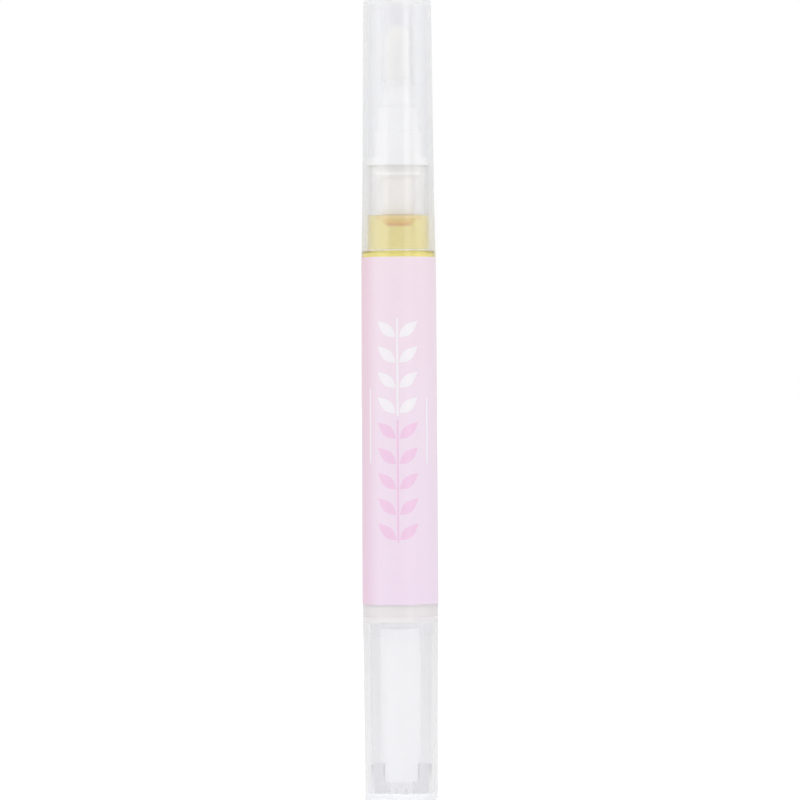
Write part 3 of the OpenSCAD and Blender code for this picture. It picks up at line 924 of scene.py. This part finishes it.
STEM_X = -0.3
STEM_W = 0.34
STEM_BELOW = 0.4
STEM_ABOVE = 3.0
LEAF_ROWS = 9
LEAF_LOW_Z = 42.4
LEAF_PITCH = 4.1
LEAF_LEN = 4.1
LEAF_W = 2.1
LEAF_TURN = 50
STALK_X = 0.28
PINK_ROWS = 5
RULE_W = 0.3
RULE_Z = 54.8
RULES = (("print_rule_right", 4.95, 65.5), ("print_rule_left", -5.35, 66.8))
rows = [LEAF_LOW_Z + LEAF_PITCH * n for n in range(LEAF_ROWS)]
for name, ink, some_rows in (
    ("print_lower", print_pink, rows[:PINK_ROWS]),
    ("print_upper", print_white, rows[PINK_ROWS:]),
):
    stem_low, stem_high = some_rows[0] - STEM_BELOW, some_rows[-1] + STEM_ABOVE
    shapes = [bar(STEM_X, stem_low, stem_high, STEM_W)]
    for z in some_rows:
        for hand in (1, -1):
            x = STEM_X + hand * STALK_X
            shapes.append(leaf(x, z, LEAF_LEN, LEAF_W, hand * LEAF_TURN))
    printed(shapes, name, ink)
for name, x, top_z in RULES:
    printed([bar(x, RULE_Z, top_z, RULE_W)], name, print_white)


# Nozzle: the milky brush holder in three steps, pressed into the neck, with a flange on
# its mouth and a long tail in the oil. Its tones follow its height, and are mostly
# painted light and shade: a painted amber shade at the inlet, darkest at its foot; a
# painted warm glow in the clear neck, strongest just above the oil; a painted highlight
# round the plug's end; a painted shade on the plug above it; and greyer on the steps.
NOZZLE_TONES_AND_PAINTED_LIGHT = (
    # height, tone
    # painted amber shade at the inlet, darkest at its foot
    (93.2, (1, 0.4, 0)),
    (93.5, (1, 0.4, 0)),
    (93.9, (1, 0.7, 0.15)),
    (94.38, (1, 0.82, 0.5)),
    # painted warm glow at and above the oil, fading up the neck
    (94.42, (1, 0.84, 0.8)),
    (94.98, (1, 0.84, 0.8)),
    (95.02, (1, 0.94, 0.87)),
    (95.8, (1, 0.955, 0.91)),
    (96.6, (0.97, 0.955, 0.93)),
    (98, (0.93, 0.915, 0.89)),
    (101.07, (0.93, 0.915, 0.89)),
    # painted highlight round the plug's end
    (101.11, (1, 1, 0.99)),
    (101.8, (1, 1, 0.99)),
    # painted shade on the plug inside the neck's mouth
    (101.85, (0.85, 0.847, 0.835)),
    (102.3, (0.83, 0.827, 0.815)),
    (102.4, (0.8, 0.797, 0.785)),
    (103.08, (0.8, 0.797, 0.785)),
    (103.12, (0.9, 0.897, 0.89)),
    (104.4, (0.9, 0.897, 0.89)),
    (104.6, (0.88, 0.877, 0.87)),
    (120, (0.88, 0.877, 0.87)),
)

nozzle_milky = plastic(
    "nozzle_milky",
    colour=(1, 0.998, 0.995),
    shade=(0.985, 0.983, 0.98),
    roughness=0.26,
)


def graded(tree, stops):
    """A tone that changes with height, from stops of (height in mm, colour)."""
    low, high = stops[0][0], stops[-1][0]
    place = tree.nodes.new("ShaderNodeTexCoord")
    axes = tree.nodes.new("ShaderNodeSeparateXYZ")
    tree.links.new(place.outputs["Object"], axes.inputs["Vector"])
    ramp = tree.nodes.new("ShaderNodeValToRGB")
    elements = ramp.color_ramp.elements
    elements[0].color = (*stops[0][1], 1)
    elements[1].color = (*stops[-1][1], 1)
    for height, tone in stops[1:-1]:
        elements.new((height - low) / (high - low)).color = (*tone, 1)
    share = ranged(tree, axes.outputs["Z"], low * MM, high * MM)
    tree.links.new(share, ramp.inputs["Fac"])
    return ramp.outputs["Color"]


nozzle_tree = nozzle_milky.node_tree
nozzle_colour = nozzle_tree.nodes["Principled BSDF"].inputs["Base Color"]
# The nozzle's own tone multiplied by the height tones, which carry its painted light
# and shade.
nozzle_tone_and_light = mixed(
    nozzle_tree,
    1,
    nozzle_colour.links[0].from_socket,
    graded(nozzle_tree, NOZZLE_TONES_AND_PAINTED_LIGHT),
    blend="MULTIPLY",
)
nozzle_tree.links.new(nozzle_tone_and_light, nozzle_colour)
dress("nozzle", nozzle_milky)


# Feed tube: a fine natural polyethylene tube from the neck to the middle of the tuft,
# pressed through the nozzle.
tube_natural = plastic(
    "tube_natural",
    colour=(0.9, 0.9, 0.9),
    shade=(0.87, 0.87, 0.87),
    roughness=0.28,
)
dress("feed_tube", tube_natural)


# Brush: fine cream nylon strands, fused at the root and trimmed to a dome. It is wound
# as curves, a little wavy and a little uneven, and takes the plain tuft's place. Nylon
# lets light through; in place of that the strands carry a very faint painted glow.
TUFT_R = 1.84
ROOT_Z = 113.5
ROOT_TOP_Z = 117.1
ROOT_CHAMFER = 0.2
ROOT_DEPTH = 0.3
TUFT_TIP_Z = 126.32
DOME_H = 1.7
DOME_CURVE = 2.2
FEED_R = 0.82
STRAND_R = 0.038
STRANDS = 950
GOLDEN_ANGLE = math.radians(137.508)
UNEVEN = 0.28
DRIFT = 0.05
MIDDLE_SHARE = 0.1
MIDDLE_GATHER = 0.5
GATHER = (0.9, 0.985)
STRAND_SHAPE = (
    # share of its length, share of its radius that stays, share that gathers, thickness
    (0, 1, 0, 1),
    (0.22, 1, 0, 1),
    (0.45, 0.995, 0, 1),
    (0.68, 0.985, 0, 1),
    (0.87, 0.5, 0.5, 0.9),
    (1, 0, 1, 0.45),
)

bristle_cream = plastic(
    "bristle_cream",
    colour=(0.99, 0.985, 0.965),
    shade=(0.98, 0.975, 0.95),
    roughness=0.42,
    bump=0.02,
    # Painted glow, standing in for light through the nylon.
    Emission_Color=(1, 0.98, 0.94, 1),
    Emission_Strength=0.014,
)
draw = random.Random(7)
strands = bpy.data.curves.new("tuft_strands", "CURVE")
strands.dimensions = "3D"
strands.bevel_depth = 1
strands.bevel_resolution = 1
strands.use_fill_caps = True
strands.resolution_u = 1
strand_low_z = ROOT_TOP_Z - ROOT_DEPTH
inner = (FEED_R + STRAND_R) / TUFT_R
for n in range(STRANDS):
    share = (n + 0.5) / STRANDS
    radius = math.sqrt(inner**2 + (1 - inner**2) * share) * (TUFT_R - STRAND_R)
    angle = n * GOLDEN_ANGLE
    reach = 1 - (radius / TUFT_R) ** DOME_CURVE
    tip_z = TUFT_TIP_Z - DOME_H * (1 - reach) - draw.uniform(0, UNEVEN)
    drift = draw.uniform(-DRIFT, DRIFT)
    gather = draw.uniform(*GATHER) if share > MIDDLE_SHARE else MIDDLE_GATHER
    spline = strands.splines.new("POLY")
    spline.points.add(len(STRAND_SHAPE) - 1)
    for point, (t, straight, drawn_in, thick) in zip(spline.points, STRAND_SHAPE):
        z = strand_low_z + (tip_z - strand_low_z) * t
        turn = angle + drift * math.sin(math.pi * t)
        r = radius * (straight + drawn_in * gather)
        point.co = (r * math.cos(turn) * MM, r * math.sin(turn) * MM, z * MM, 1)
        point.radius = STRAND_R * thick * MM
tuft_curves = bpy.data.objects.new("tuft_curves", strands)
bpy.context.scene.collection.objects.link(tuft_curves)
bpy.context.view_layer.update()
tuft_mesh = bpy.data.meshes.new_from_object(
    tuft_curves.evaluated_get(bpy.context.evaluated_depsgraph_get())
)
bpy.data.objects.remove(tuft_curves)
bm = bmesh.new()
bm.from_mesh(tuft_mesh)
bpy.data.meshes.remove(tuft_mesh)
tuft = finished(bm, "tuft", bristle_cream, "barrel", sharp=1)
tuft_root = finished(
    turned(
        [
            (FEED_R, ROOT_Z + ROOT_CHAMFER),
            (FEED_R + ROOT_CHAMFER, ROOT_Z),
            (TUFT_R - ROOT_CHAMFER, ROOT_Z),
            (TUFT_R, ROOT_Z + ROOT_CHAMFER),
            (TUFT_R, ROOT_TOP_Z),
            (FEED_R, ROOT_TOP_Z),
        ]
    ),
    "tuft_root",
    bristle_cream,
    "barrel",
)
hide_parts("brush")
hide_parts("brush")


# Cap: the frosted clear polypropylene cap, with the sleeve inside that seals over the
# nozzle's tip. Its solid has both, so it only takes its finish. The sleeve is moulded
# thinner and polished, so it is the clearer of the two.
SLEEVE_REACH = 3.5
SLEEVE_TONE = (0.985, 0.982, 0.988, 1)
cap_frosted = plastic(
    "cap_frosted",
    colour=(0.96, 0.963, 0.977),
    shade=(0.952, 0.955, 0.969),
    roughness=0.16,
    bump=0,
    Transmission_Weight=1,
    IOR=POLYPROPYLENE_IOR,
)
milk(cap_frosted, colour=(0.9, 0.905, 0.93), density=420)
cap_tree = cap_frosted.node_tree
cap_colour = cap_tree.nodes["Principled BSDF"].inputs["Base Color"]
in_sleeve = math_node(cap_tree, "LESS_THAN", off_axis(cap_tree), SLEEVE_REACH * MM)
cap_tone = mixed(cap_tree, in_sleeve, cap_colour.links[0].from_socket, SLEEVE_TONE)
cap_tree.links.new(cap_tone, cap_colour)
dress("cap", cap_frosted)
